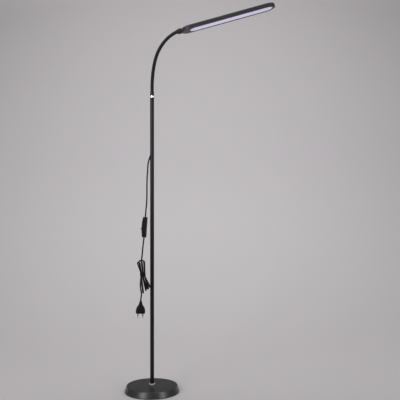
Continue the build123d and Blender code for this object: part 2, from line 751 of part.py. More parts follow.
def pin_ears():
    """The two cheeks inside the front shell that carry the rocker's pin."""
    inner = ROCKER_W / 2 + ROCKER_PLAY_SIDE
    outer = inner + EAR_T
    depth = SWITCH_FRONT[1] - SWITCH_WALL
    ears = []
    for side in (-1, 1):
        span = (min(side * inner, side * outer), max(side * inner, side * outer))
        ears.append(block((-depth, -ROCKER_PIVOT + EAR_R), span, (-EAR_R, EAR_R)))
    return ears


def pivot_rod(radius, length):
    return Pos(-ROCKER_PIVOT, length / 2, 0) * Rot(X=90) * rod(radius, 0, length)


def switch_front():
    shell = switch_shell(True)
    half_l = ROCKER_L / 2 + ROCKER_PLAY_END
    half_w = ROCKER_W / 2 + ROCKER_PLAY_SIDE
    shell -= block((-SWITCH_W, -1), (-half_w, half_w), (-half_l, half_l))
    for ear in pin_ears():
        shell += ear
    return SWITCH_PLACE * (shell - pivot_rod(ROCKER_PIN_R + FIT, SWITCH_W - 2 * SWITCH_WALL))


def switch_back():
    return SWITCH_PLACE * switch_shell(False)


def rocker():
    """Rocker with raised ends, at rest with its lower end out."""
    half = ROCKER_L / 2
    side = [(-ROCKER_END_H, -half), (-ROCKER_MID_H, 0), (-ROCKER_END_H, half),
            (0, half), (ROCKER_ROOT_H, half * 0.5), (ROCKER_ROOT_H, -half * 0.5), (0, -half)]
    face = make_face(Polyline(*[(x, 0, z) for x, z in side], close=True))
    body = extrude(face, ROCKER_W / 2, both=True, dir=(0, 1, 0))
    body = Pos(-ROCKER_PIVOT, 0, 0) * Rot(Y=ROCKER_THROW) * body
    return SWITCH_PLACE * (body - pivot_rod(ROCKER_PIN_R + FIT, SWITCH_W))


def rocker_pin():
    return SWITCH_PLACE * pivot_rod(ROCKER_PIN_R, ROCKER_PIN_L)


def switch_contacts():
    """Terminal blocks on the back shell and the strip between them."""
    wall = SWITCH_BACK - SWITCH_WALL
    depth, width, height = TERMINAL
    blocks = [
        block((wall - depth, wall), (-width / 2, width / 2),
              (side * TERMINAL_AT - height / 2, side * TERMINAL_AT + height / 2))
        for side in (-1, 1)
    ]
    strip = block((wall - BRIDGE_T, wall), (-width / 4, width / 4),
                  (-TERMINAL_AT + height / 2, TERMINAL_AT - height / 2))
    return [SWITCH_PLACE * (blocks[0] + blocks[1] + strip)]


def switch_screws():
    return [SWITCH_PLACE * place * switch_screw(0) for place in switch_screw_places()]


# ------------------------------------------------------------------ cord
SWITCH_TOP = (SWITCH_PLACE * Pos(0, 0, SWITCH_L / 2)).position
SWITCH_BOTTOM = (SWITCH_PLACE * Pos(0, 0, -SWITCH_L / 2)).position
PLUG_TOP = (PLUG_PLACE * Pos(0, 0, RELIEF_L)).position
HANK_ORIGIN = Vector(*HANK_CENTRE)
HANK_TOP = HANK_ORIGIN + Vector(*HANK_ENTRY)
HANK_END = HANK_ORIGIN + Vector(*HANK_EXIT)


def cord_upper():
    """From the gland down to the switch."""
    line = outlet_axis()
    points = [
        (line * Pos(0, 0, GLAND_OUT)).position,
        (line * Pos(0, 0, GLAND_OUT + 13)).position,
        (-16.4, -0.5, 845.0),
        (-18.6, -1.6, 820.0),
        (-19.5, -3.0, 787.0),
        (-19.2, -4.6, 748.0),
        (-20.2, -6.2, 712.0),
        (SWITCH_PLACE * Pos(0, 0, SWITCH_L / 2 + 24)).position,
        SWITCH_TOP,
    ]
    return cord_tube("cord_upper", points)[0]


CORD_LOWER_LAST = Vector(-35.7, -13.3, 528.5)


def cord_lower():
    """From the switch down to the hank."""
    points = [
        SWITCH_BOTTOM,
        (SWITCH_PLACE * Pos(0, 0, -SWITCH_L / 2 - 12)).position,
        (-34.0, -9.6, 554.0),
        CORD_LOWER_LAST,
        HANK_TOP,
    ]
    return cord_tube("cord_lower", points)[0]


def hank_route():
    """The tied hank: strands through nine waist places, joined by loops above and below."""
    entry = (HANK_TOP - CORD_LOWER_LAST).normalized()
    points = [HANK_TOP, HANK_TOP + entry * HANK_ENTRY_RUN]
    down = True
    for index, (column, row) in enumerate(HANK_PLACES):
        x, y = column * WAIST_PITCH, row * WAIST_PITCH
        ends = (WAIST_HALF, -WAIST_HALF) if down else (-WAIST_HALF, WAIST_HALF)
        points += [HANK_ORIGIN + Vector(x, y, z) for z in ends]
        if index < len(HANK_LOOPS):
            first, second, height = HANK_LOOPS[index]
            points += [HANK_ORIGIN + Vector(*leg, height) for leg in (first, second)]
        down = not down
    return points + [HANK_ORIGIN + Vector(*HANK_BULGE), HANK_END]


def cord_hank():
    hank, path = cord_tube("cord_hank", hank_route())
    print("cord_hank least gap to itself", round(least_self_gap(path, CORD_R), 2))
    return hank


def cord_tie():
    inner = 2 * (WAIST_PITCH + CORD_R + FIT)
    outer = inner + 2 * TIE_T
    band = extrude(RectangleRounded(outer, outer, CORD_R + TIE_T), TIE_H / 2, both=True)
    band -= extrude(RectangleRounded(inner, inner, CORD_R), TIE_H, both=True)
    head = block((-TIE_HEAD[0] / 2, TIE_HEAD[0] / 2), (-outer / 2 - TIE_HEAD[2], -inner / 2 - TIE_T / 2),
                 (-TIE_HEAD[1] / 2, TIE_HEAD[1] / 2))
    return Location(HANK_ORIGIN) * (band + head)


def plug_lead():
    """From the hank down into the plug's strain relief."""
    bulge = HANK_ORIGIN + Vector(*HANK_BULGE)
    onward = (HANK_END - bulge).normalized()
    points = [
        HANK_END,
        HANK_END + onward * 15.0,
        (PLUG_PLACE * Pos(0, 0, RELIEF_L + 9)).position,
        PLUG_TOP,
    ]
    return cord_tube("plug_lead", points)[0]


# ------------------------------------------------------------------ plug
def plug_body():
    """Flat two-pin plug, widest near its face, with a ringed strain relief."""
    right = [(x, 0, z) for x, z in PLUG_OUTLINE]
    left = [(-x, 0, z) for x, z in reversed(PLUG_OUTLINE)]
    front = make_face(Polyline(*right, (RELIEF_R[0], 0, PLUG_BODY_H), (-RELIEF_R[0], 0, PLUG_BODY_H),
                               *left, close=True))
    shape = extrude(front, PLUG_THICK / 2, both=True, dir=(0, 1, 0))
    half = PLUG_THICK / 2
    side = make_face(Polyline(
        (0, half, 0), (0, half, PLUG_SHOULDER_Z), (0, PLUG_NECK_HALF_T, PLUG_BODY_H),
        (0, -PLUG_NECK_HALF_T, PLUG_BODY_H), (0, -half, PLUG_SHOULDER_Z), (0, -half, 0), close=True))
    shape &= extrude(side, 2 * PLUG_THICK, both=True, dir=(1, 0, 0))
    faces = shape.faces().filter_by(Axis.Y)
    shape = fillet(faces.edges(), PLUG_EDGE)
    return PLUG_PLACE * (shape + strain_relief() - pin_cores(FIT))


def strain_relief():
    """Tapered sleeve over the cord, with shallow rings."""
    start, end = PLUG_BODY_H - 2, RELIEF_L
    pitch = (end - PLUG_BODY_H) / (RELIEF_RINGS + 1)

    def radius_at(z):
        share = (z - start) / (end - start)
        return RELIEF_R[0] + share * (RELIEF_R[1] - RELIEF_R[0])

    side = [(0, start), (radius_at(start), start)]
    for turn in range(1, RELIEF_RINGS + 1):
        z = PLUG_BODY_H + turn * pitch
        side += [(radius_at(z - 0.8), z - 0.8), (radius_at(z) - RELIEF_GROOVE, z - 0.4),
                 (radius_at(z) - RELIEF_GROOVE, z + 0.4), (radius_at(z + 0.8), z + 0.8)]
    side += [(radius_at(end), end), (0, end)]
    return turned(side)


def pin_cores(grow):
    """Roots of the two pins inside the plug."""
    cores = [Pos(side * PIN_SPACING / 2, 0, 0) * rod(PIN_CORE_R + grow, -1, PIN_ROOT + grow)
             for side in (-1, 1)]
    return cores[0] + cores[1]


def plug_pins():
    pins = []
    for side in (-1, 1):
        tip = rod(PIN_R, -PIN_L, -PIN_SLEEVE_L)
        tip = fillet(edges_at(tip, -PIN_L), PIN_R * 0.8)
        pin = tip + rod(PIN_CORE_R, -PIN_SLEEVE_L - 1, PIN_ROOT)
        pins.append(PLUG_PLACE * Pos(side * PIN_SPACING / 2, 0, 0) * pin)
    return pins


def plug_sleeves():
    return [
        PLUG_PLACE * Pos(side * PIN_SPACING / 2, 0, 0) * ring(PIN_SLEEVE_R, PIN_CORE_R, -PIN_SLEEVE_L, 0)
        for side in (-1, 1)
    ]


# ------------------------------------------------------------------ all pieces
def housing_with_screw_holes():
    housing = head_housing()
    for hole in screw_holes():
        housing -= hole
    return housing


PIECES = {
    "base_cover": base_cover,
    "base_weight": base_weight,
    "base_pad": base_pad,
    "base_collar": base_collar,
    "base_bolt": base_bolt,
    "base_washer": base_washer,
    "base_lock_washer": base_lock_washer,
    "pole_foot_insert": foot_insert,
    "pole_lower": pole_lower,
    "pole_upper": pole_upper,
    "pole_socket": pole_socket,
    "pole_stud": pole_stud,
    "pole_top_insert": top_insert,
    "pole_lead": pole_lead,
    "pole_ring": pole_ring,
    "neck_ferrule": neck_ferrule,
    "neck_stud": neck_stud,
    "neck_end_fitting": neck_end_fitting,
    "neck_collar": neck_collar,
    "head_spindle": head_spindle,
    "swivel_washer": swivel_washer,
    "spindle_screw": spindle_screw,
    "head_housing": housing_with_screw_holes,
    "head_bezel": head_bezel,
    "diffuser": diffuser,
    "light_frame": light_frame,
    "led_board": led_board,
    "leds": leds,
    "heat_plate": heat_plate,
    "board_screws": board_screws,
    "driver_board": driver_board,
    "driver_parts": driver_parts,
    "head_leads": head_leads,
    "cord_gland": cord_gland,
    "cord_upper": cord_upper,
    "switch_front": switch_front,
    "switch_back": switch_back,
    "rocker": rocker,
    "rocker_pin": rocker_pin,
    "switch_contacts": switch_contacts,
    "switch_screws": switch_screws,
    "cord_lower": cord_lower,
    "cord_hank": cord_hank,
    "cord_tie": cord_tie,
    "plug_lead": plug_lead,
    "plug_body": plug_body,
    "plug_pins": plug_pins,
    "plug_sleeves": plug_sleeves,
}


def write(name, made):
    """Write one node: a single solid, or a group of them."""
    solids = made if isinstance(made, list) else [made]
    found = [solid for shape in solids for solid in shape.solids()]
    export_step(found[0] if len(found) == 1 else Compound(children=found), f"parts/{name}.step")


for piece_name, make_piece in PIECES.items():
    write(piece_name, make_piece())
for link_index in range(len(NECK_TILTS)):
    write(f"neck_link_{link_index + 1:02d}", neck_link(link_index))
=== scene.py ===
"""Gooseneck reading floor lamp: finishes, detail pieces, studio and camera. Metres."""

from math import cos, pi, radians, sin, tan

import bpy
from mathutils import Matrix, Vector


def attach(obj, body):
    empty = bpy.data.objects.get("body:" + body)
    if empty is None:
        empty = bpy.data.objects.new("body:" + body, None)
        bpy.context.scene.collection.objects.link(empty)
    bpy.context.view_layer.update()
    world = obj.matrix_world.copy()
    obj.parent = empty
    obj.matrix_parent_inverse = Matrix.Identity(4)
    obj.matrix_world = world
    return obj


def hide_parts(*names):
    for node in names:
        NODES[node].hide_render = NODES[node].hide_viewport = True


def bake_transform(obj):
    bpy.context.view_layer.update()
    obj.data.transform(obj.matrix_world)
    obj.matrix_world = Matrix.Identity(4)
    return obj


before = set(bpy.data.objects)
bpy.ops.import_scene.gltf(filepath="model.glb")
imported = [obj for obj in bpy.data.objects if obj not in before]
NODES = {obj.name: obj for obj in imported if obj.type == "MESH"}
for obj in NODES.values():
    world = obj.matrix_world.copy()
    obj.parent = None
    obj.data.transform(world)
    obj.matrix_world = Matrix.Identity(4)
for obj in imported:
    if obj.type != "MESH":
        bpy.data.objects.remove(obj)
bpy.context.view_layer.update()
MM = 0.001

# ---------------------------------------------------------------- camera
CAMERA_PLACE = (0.182, -2.409, 0.727)
CAMERA_LENS = 57.06
SENSOR_WIDTH = 36


def add_camera():
    """Level camera at the photograph's angle and distance."""
    bpy.ops.object.camera_add(location=CAMERA_PLACE, rotation=(radians(90), 0, 0))
    camera = bpy.context.object
    camera.name = "camera"
    camera.data.sensor_width = SENSOR_WIDTH
    camera.data.lens = CAMERA_LENS
    bpy.context.scene.camera = camera


add_camera()

# ---------------------------------------------------------------- supply cord
CORD_D = 5.4 * MM
CORD_STEPS = 8
CORD_ROUNDNESS = 4
GLAND_MOUTH = (-10.7, 0.0, 881.9)
SWITCH_TOP = (-25.0, -7.0, 662.7)
SWITCH_BOTTOM = (-30.2, -7.0, 585.7)
UPPER_ROUTE = [
    GLAND_MOUTH,
    (-15.6, 0.0, 869.8),
    (-16.4, -0.5, 845.0),
    (-18.6, -1.6, 820.0),
    (-19.5, -3.0, 787.0),
    (-19.2, -4.6, 748.0),
    (-20.2, -6.2, 712.0),
    (-23.3, -7.0, 686.7),
    SWITCH_TOP,
]
LOWER_ROUTE = [
    SWITCH_BOTTOM,
    (-31.0, -7.0, 573.7),
    (-34.0, -9.6, 554.0),
    (-35.7, -13.3, 528.5),
    (-38.0, -17.5, 505.0),
    (-38.9, -19.1, 496.2),
    (-33.7, -18.0, 454.6),
    (-33.7, -18.0, 438.6),
    (-21.7, -15.8, 403.8),
    (-17.7, -15.0, 392.2),
    (-11.2, -25.5, 392.2),
    (-15.1, -23.6, 403.7),
    (-27.1, -18.0, 438.6),
    (-27.1, -18.0, 454.6),
    (-28.0, -18.3, 477.6),
    (-28.7, -18.5, 494.6),
    (-28.7, -1.5, 494.6),
    (-28.0, -5.6, 478.1),
    (-27.1, -11.4, 454.6),
    (-27.1, -11.4, 438.6),
    (-15.1, -11.7, 415.8),
    (-6.2, -12.0, 399.0),
    (-6.2, -31.0, 399.0),
    (-15.0, -28.3, 415.6),
    (-27.1, -24.6, 438.6),
    (-27.1, -24.6, 454.6),
    (-28.0, -31.5, 486.3),
    (-28.4, -34.5, 499.9),
    (-39.0, -25.5, 499.9),
    (-37.4, -25.2, 486.1),
    (-33.7, -24.6, 454.6),
    (-33.7, -24.6, 438.6),
    (-26.1, -26.7, 406.1),
    (-21.5, -28.0, 386.1),
    (-21.5, -7.5, 386.1),
    (-26.1, -9.0, 406.1),
    (-33.7, -11.4, 438.6),
    (-33.7, -11.4, 454.6),
    (-36.4, -10.6, 480.0),
    (-38.2, -10.0, 496.6),
    (-50.7, 1.0, 496.6),
    (-46.8, -3.6, 481.0),
    (-40.3, -11.4, 454.6),
    (-40.3, -11.4, 438.6),
    (-34.5, -9.7, 394.8),
    (-32.1, -9.0, 377.0),
    (-32.1, -27.0, 377.0),
    (-34.5, -26.3, 394.8),
    (-40.3, -24.6, 438.6),
    (-40.3, -24.6, 454.6),
    (-48.2, -29.1, 477.8),
    (-53.2, -32.0, 492.6),
    (-45.7, -18.0, 492.6),
    (-43.5, -18.0, 476.9),
    (-40.3, -18.0, 454.6),
    (-40.3, -18.0, 438.6),
    (-43.5, -19.0, 404.0),
    (-40.6, -19.0, 386.6),
    (-38.1, -19.0, 371.8),
    (-40.9, -19.0, 356.0),
    (-41.2, -19.0, 347.0),
]


def cord_line(name, route):
    """A smooth round lead that follows a listed route, given in millimetres.

    Each point's radius is the lead's own, so the bevel depth that it multiplies is 1.
    """
    curve = bpy.data.curves.new(name, "CURVE")
    curve.dimensions = "3D"
    spline = curve.splines.new("NURBS")
    spline.points.add(len(route) - 1)
    for point, place in zip(spline.points, route):
        point.co = (*(Vector(place) * MM), 1)
        point.radius = CORD_D / 2
    spline.order_u = 3
    spline.use_endpoint_u = True
    spline.resolution_u = CORD_STEPS
    curve.bevel_depth = 1
    curve.bevel_resolution = CORD_ROUNDNESS
    curve.use_fill_caps = True
    lead = bpy.data.objects.new(name, curve)
    bpy.context.scene.collection.objects.link(lead)
    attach(lead, "stand")
    return lead


upper_lead = cord_line("upper_lead", UPPER_ROUTE)
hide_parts("cord_upper")
lower_lead = cord_line("lower_lead", LOWER_ROUTE)
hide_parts("cord_lower", "cord_hank", "plug_lead")


# ---------------------------------------------------------------- modelling helpers
MERGE_GAP = 0.01 * MM
SPIN_GAP = 0.005 * MM
CORNER_SHARE = 0.75
CORNER_STEPS = 7


def select_only(piece):
    bpy.ops.object.select_all(action="DESELECT")
    piece.select_set(True)
    bpy.context.view_layer.objects.active = piece


def bake_place(piece):
    """Puts a piece's place, turn and scale into its mesh."""
    select_only(piece)
    bpy.ops.object.transform_apply(location=True, rotation=True, scale=True)


def set_place(piece, place):
    """Moves a piece by a matrix and puts that into its mesh."""
    piece.matrix_world = place @ piece.matrix_world
    bake_place(piece)


def apply_all(piece):
    select_only(piece)
    for modifier in list(piece.modifiers):
        bpy.ops.object.modifier_apply(modifier=modifier.name)


def tidy_normals(piece):
    """Joins doubled points and turns the faces outwards."""
    select_only(piece)
    bpy.ops.object.mode_set(mode="EDIT")
    bpy.ops.mesh.select_all(action="SELECT")
    bpy.ops.mesh.remove_doubles(threshold=MERGE_GAP)
    bpy.ops.mesh.normals_make_consistent(inside=False)
    bpy.ops.object.mode_set(mode="OBJECT")


def smooth_below(piece, degrees):
    select_only(piece)
    bpy.ops.object.shade_smooth_by_angle(angle=radians(degrees))


def add_bevel(piece, width, segments, limit):
    bevel = piece.modifiers.new("rounded edges", "BEVEL")
    bevel.width = width
    bevel.segments = segments
    bevel.limit_method = "ANGLE"
    bevel.angle_limit = radians(limit)


def finish_piece(name, piece, finish, degrees):
    """Applies a piece's modifiers, shades it, and gives it its name and finish."""
    apply_all(piece)
    tidy_normals(piece)
    smooth_below(piece, degrees)
    piece.name = name
    piece.data.materials.clear()
    piece.data.materials.append(finish)


def pick_points(piece, wanted):
    """Selects, in edit mode, the vertices for which wanted(place) holds."""
    bpy.ops.object.mode_set(mode="EDIT")
    bpy.ops.mesh.select_mode(type="VERT")
    bpy.ops.mesh.select_all(action="DESELECT")
    bpy.ops.object.mode_set(mode="OBJECT")
    for point in piece.data.vertices:
        point.select = bool(wanted(point.co))
    bpy.ops.object.mode_set(mode="EDIT")


def drawn_outline(points):
    """One vertex, drawn out into a line through (radius, height) points."""
    bpy.ops.object.select_all(action="DESELECT")
    bpy.ops.mesh.primitive_plane_add(size=0.001, location=(0, 0, 0))
    piece = bpy.context.object
    bpy.ops.object.mode_set(mode="EDIT")
    bpy.ops.mesh.select_mode(type="VERT")
    bpy.ops.mesh.select_all(action="SELECT")
    bpy.ops.mesh.merge(type="CENTER")
    here = Vector((points[0][0], 0, points[0][1]))
    bpy.ops.transform.translate(value=tuple(here))
    for radius, height in points[1:]:
        there = Vector((radius, 0, height))
        bpy.ops.mesh.extrude_vertices_move(TRANSFORM_OT_translate={"value": tuple(there - here)})
        here = there
    return piece


def spun(points, steps):
    """A turned shape: the outline swept once round the upright axis."""
    piece = drawn_outline(points)
    bpy.ops.mesh.select_all(action="SELECT")
    bpy.ops.mesh.spin(steps=steps, angle=2 * pi, center=(0, 0, 0), axis=(0, 0, 1))
    bpy.ops.mesh.select_all(action="SELECT")
    bpy.ops.mesh.remove_doubles(threshold=SPIN_GAP)
    bpy.ops.object.mode_set(mode="OBJECT")
    return piece


def close_holes(piece):
    """Closes every open edge loop with a face."""
    select_only(piece)
    bpy.ops.object.mode_set(mode="EDIT")
    bpy.ops.mesh.select_all(action="SELECT")
    bpy.ops.mesh.fill_holes(sides=0)
    bpy.ops.object.mode_set(mode="OBJECT")


def stacked(layers):
    """A moulded form built up in layers of (half width, half thickness, height)."""
    width, thickness, height = layers[0]
    bpy.ops.object.select_all(action="DESELECT")
    bpy.ops.mesh.primitive_plane_add(size=2, location=(0, 0, height))
    piece = bpy.context.object
    bpy.ops.object.mode_set(mode="EDIT")
    bpy.ops.mesh.select_all(action="SELECT")
    bpy.ops.mesh.bevel(offset=CORNER_SHARE, segments=CORNER_STEPS, affect="VERTICES")
    bpy.ops.mesh.select_all(action="SELECT")
    bpy.ops.transform.resize(value=(width, thickness, 1))
    for wider, thicker, higher in layers[1:]:
        bpy.ops.mesh.extrude_region_move(TRANSFORM_OT_translate={"value": (0, 0, higher - height)})
        bpy.ops.transform.resize(value=(wider / width, thicker / thickness, 1))
        width, thickness, height = wider, thicker, higher
    bpy.ops.object.mode_set(mode="OBJECT")
    bake_place(piece)
    close_holes(piece)
    return piece


def drawn_slab(points, width):
    """A side outline in X and Z, filled and drawn out to a width along Y."""
    piece = drawn_outline(points)
    bpy.ops.mesh.select_all(action="SELECT")
    bpy.ops.mesh.edge_face_add()
    bpy.ops.transform.translate(value=(0, -width / 2, 0))
    bpy.ops.mesh.extrude_region_move(TRANSFORM_OT_translate={"value": (0, width, 0)})
    bpy.ops.object.mode_set(mode="OBJECT")
    bake_place(piece)
    close_holes(piece)
    return piece


# ---------------------------------------------------------------- shader groups
MOTTLE_BAND = (0.3, 0.7)
PEEL_SCALE = 0.17
DUST_SLOPE = (0.5, 0.98)
DUST_SPECKS = 900.0
DUST_CLUMPS = (0.42, 0.75)
DUST_THINNEST = 0.25
DUST_COLOR = (0.42, 0.41, 0.4, 1)
COAT_SLOPE = (0.8, 0.99)


def shader_group(name, inputs, outputs):
    """An empty node group with named sockets: (name, kind, value) in, (name, kind) out."""
    group = bpy.data.node_groups.new(name, "ShaderNodeTree")
    for label, kind, value in inputs:
        socket = group.interface.new_socket(name=label, in_out="INPUT", socket_type=kind)
        if value is not None:
            socket.default_value = value
    for label, kind in outputs:
        group.interface.new_socket(name=label, in_out="OUTPUT", socket_type=kind)
    entry = group.nodes.new("NodeGroupInput")
    leave = group.nodes.new("NodeGroupOutput")
    return group, entry, leave


def feed(tree, socket, given):
    """Sets a socket to a plain value, or wires another node's output to it."""
    if isinstance(given, (int, float, tuple)):
        socket.default_value = given
    else:
        tree.links.new(given, socket)


def combined(tree, operation, first, second):
    """The result of a Math node on two sockets or numbers."""
    node = tree.nodes.new("ShaderNodeMath")
    node.operation = operation
    feed(tree, node.inputs[0], first)
    feed(tree, node.inputs[1], second)
    return node.outputs[0]


def noise(tree, where, scale, detail, roughness=0.5):
    """The strength of a noise pattern, from 0 to 1."""
    node = tree.nodes.new("ShaderNodeTexNoise")
    node.inputs["Detail"].default_value = detail
    node.inputs["Roughness"].default_value = roughness
    tree.links.new(where, node.inputs["Vector"])
    feed(tree, node.inputs["Scale"], scale)
    return node.outputs["Fac"]


def stretch(tree, value, low, high, to_low, to_high):
    """Map Range with plain numbers or sockets."""
    node = tree.nodes.new("ShaderNodeMapRange")
    tree.links.new(value, node.inputs["Value"])
    for label, given in (
        ("From Min", low),
        ("From Max", high),
        ("To Min", to_low),
        ("To Max", to_high),
    ):
        feed(tree, node.inputs[label], given)
    return node.outputs["Result"]


def mixed(tree, factor, first, second):
    """The blend of two colours: the first at factor 0, the second at 1."""
    node = tree.nodes.new("ShaderNodeMix")
    node.data_type = "RGBA"
    tree.links.new(factor, node.inputs["Factor"])
    for label, given in (("A", first), ("B", second)):
        socket = next(s for s in node.inputs if s.name == label and s.type == "RGBA")
        feed(tree, socket, given)
    return next(s for s in node.outputs if s.type == "RGBA")


def build_mottle():
    """Slow drift of tone and gloss over a surface."""
    group, entry, leave = shader_group(
        "surface mottle",
        [
            ("Position", "NodeSocketVector", None),
            ("Size", "NodeSocketFloat", 30.0),
            ("Darker", "NodeSocketColor", (0.02, 0.02, 0.02, 1)),
            ("Lighter", "NodeSocketColor", (0.03, 0.03, 0.03, 1)),
            ("Glossier", "NodeSocketFloat", 0.35),
            ("Duller", "NodeSocketFloat", 0.45),
        ],
        [("Color", "NodeSocketColor"), ("Roughness", "NodeSocketFloat")],
    )
    patches = noise(group, entry.outputs["Position"], entry.outputs["Size"], 4.0, 0.55)
    drift = stretch(group, patches, *MOTTLE_BAND, 0.0, 1.0)
    tone = mixed(group, drift, entry.outputs["Darker"], entry.outputs["Lighter"])
    gloss = stretch(group, patches, *MOTTLE_BAND, entry.outputs["Glossier"], entry.outputs["Duller"])
    group.links.new(tone, leave.inputs["Color"])
    group.links.new(gloss, leave.inputs["Roughness"])
    return group


def build_grain():
    """Fine raised grain, as of powder coat or moulded plastic, in two sizes."""
    group, entry, leave = shader_group(
        "fine grain",
        [
            ("Position", "NodeSocketVector", None),
            ("Size", "NodeSocketFloat", 1500.0),
            ("Peel", "NodeSocketFloat", 0.3),
        ],
        [("Height", "NodeSocketFloat")],
    )
    fine = noise(group, entry.outputs["Position"], entry.outputs["Size"], 2.0)
    slow_size = combined(group, "MULTIPLY", entry.outputs["Size"], PEEL_SCALE)
    slow = noise(group, entry.outputs["Position"], slow_size, 1.0)
    weight = combined(group, "MULTIPLY", slow, entry.outputs["Peel"])
    both = combined(group, "ADD", fine, weight)
    group.links.new(both, leave.inputs["Height"])
    return group


def build_dust():
    """Thin dust that settles on faces looking up."""
    group, entry, leave = shader_group(
        "settled dust",
        [
            ("Position", "NodeSocketVector", None),
            ("Facing", "NodeSocketVector", None),
            ("Amount", "NodeSocketFloat", 0.1),
            ("Clean Color", "NodeSocketColor", (0.02, 0.02, 0.02, 1)),
            ("Clean Roughness", "NodeSocketFloat", 0.4),
        ],
        [("Color", "NodeSocketColor"), ("Roughness", "NodeSocketFloat")],
    )
    split = group.nodes.new("ShaderNodeSeparateXYZ")
    group.links.new(entry.outputs["Facing"], split.inputs[0])
    upward = stretch(group, split.outputs["Z"], *DUST_SLOPE, 0.0, 1.0)
    specks = noise(group, entry.outputs["Position"], DUST_SPECKS, 5.0, 0.7)
    spread = stretch(group, specks, *DUST_CLUMPS, DUST_THINNEST, 1.0)
    lying = combined(group, "MULTIPLY", upward, spread)
    cover = combined(group, "MULTIPLY", lying, entry.outputs["Amount"])
    tone = mixed(group, cover, entry.outputs["Clean Color"], DUST_COLOR)
    dull = combined(group, "ADD", cover, entry.outputs["Clean Roughness"])
    group.links.new(tone, leave.inputs["Color"])
    group.links.new(dull, leave.inputs["Roughness"])
    return group


def build_turning():
    """Hair-fine rings left by a lathe, about the upright axis of Position."""
    group, entry, leave = shader_group(
        "turning marks",
        [("Position", "NodeSocketVector", None), ("Fineness", "NodeSocketFloat", 6000.0)],
        [("Height", "NodeSocketFloat")],
    )
    split = group.nodes.new("ShaderNodeSeparateXYZ")
    group.links.new(entry.outputs["Position"], split.inputs[0])
    flat = group.nodes.new("ShaderNodeCombineXYZ")
    group.links.new(split.outputs["X"], flat.inputs["X"])
    group.links.new(split.outputs["Y"], flat.inputs["Y"])
    radius = group.nodes.new("ShaderNodeVectorMath")
    radius.operation = "LENGTH"
    group.links.new(flat.outputs[0], radius.inputs[0])
    rings = group.nodes.new("ShaderNodeCombineXYZ")
    group.links.new(radius.outputs["Value"], rings.inputs["X"])
    group.links.new(split.outputs["Z"], rings.inputs["Y"])
    marks = noise(group, rings.outputs[0], entry.outputs["Fineness"], 2.0)
    group.links.new(marks, leave.inputs["Height"])
    return group


MOTTLE = build_mottle()
GRAIN = build_grain()
DUST = build_dust()
TURNING = build_turning()


def place_group(tree, group, values, wires):
    """A group node with its own values and the sockets wired to it."""
    node = tree.nodes.new("ShaderNodeGroup")
    node.node_tree = group
    for label, value in values.items():
        node.inputs[label].default_value = value
    for label, source in wires.items():
        tree.links.new(source, node.inputs[label])
    return node


def grey(level, tint=(1.0, 1.0, 1.0)):
    """A grey of that level, with a tint."""
    return (level * tint[0], level * tint[1], level * tint[2], 1.0)


def coated(
    name, darker, lighter, gloss, patch, grain=1500.0, peel=0.3, bump=0.1, depth=0.00002,
    dust=0.0, metallic=0.0, side_coat=0.0, coat_roughness=0.1, ior=1.5, turned=0.0,
):  # fmt: skip
    """A finish with drifting tone, fine grain and some settled dust."""
    material = bpy.data.materials.new(name)
    material.use_nodes = True
    tree = material.node_tree
    shader = tree.nodes["Principled BSDF"]
    where = tree.nodes.new("ShaderNodeTexCoord")
    position = where.outputs["Object"]
    tone = place_group(
        tree,
        MOTTLE,
        {"Size": patch, "Darker": darker, "Lighter": lighter, "Glossier": gloss[0], "Duller": gloss[1]},
        {"Position": position},
    )
    color, roughness = tone.outputs["Color"], tone.outputs["Roughness"]
    if dust:
        dusted = place_group(
            tree,
            DUST,
            {"Amount": dust},
            {
                "Position": position,
                "Facing": where.outputs["Normal"],
                "Clean Color": color,
                "Clean Roughness": roughness,
            },
        )
        color, roughness = dusted.outputs["Color"], dusted.outputs["Roughness"]
    tree.links.new(color, shader.inputs["Base Color"])
    tree.links.new(roughness, shader.inputs["Roughness"])
    if turned:
        relief = place_group(tree, TURNING, {"Fineness": turned}, {"Position": position})
    else:
        relief = place_group(tree, GRAIN, {"Size": grain, "Peel": peel}, {"Position": position})
    raised = tree.nodes.new("ShaderNodeBump")
    raised.inputs["Strength"].default_value = bump
    raised.inputs["Distance"].default_value = depth
    tree.links.new(relief.outputs["Height"], raised.inputs["Height"])
    tree.links.new(raised.outputs["Normal"], shader.inputs["Normal"])
    shader.inputs["Metallic"].default_value = metallic
    shader.inputs["IOR"].default_value = ior
    if side_coat:
        split = tree.nodes.new("ShaderNodeSeparateXYZ")
        tree.links.new(where.outputs["Normal"], split.inputs[0])
        tree.links.new(stretch(tree, split.outputs["Z"], *COAT_SLOPE, side_coat, 0.0),
                       shader.inputs["Coat Weight"])  # fmt: skip
        shader.inputs["Coat Roughness"].default_value = coat_roughness
    return material


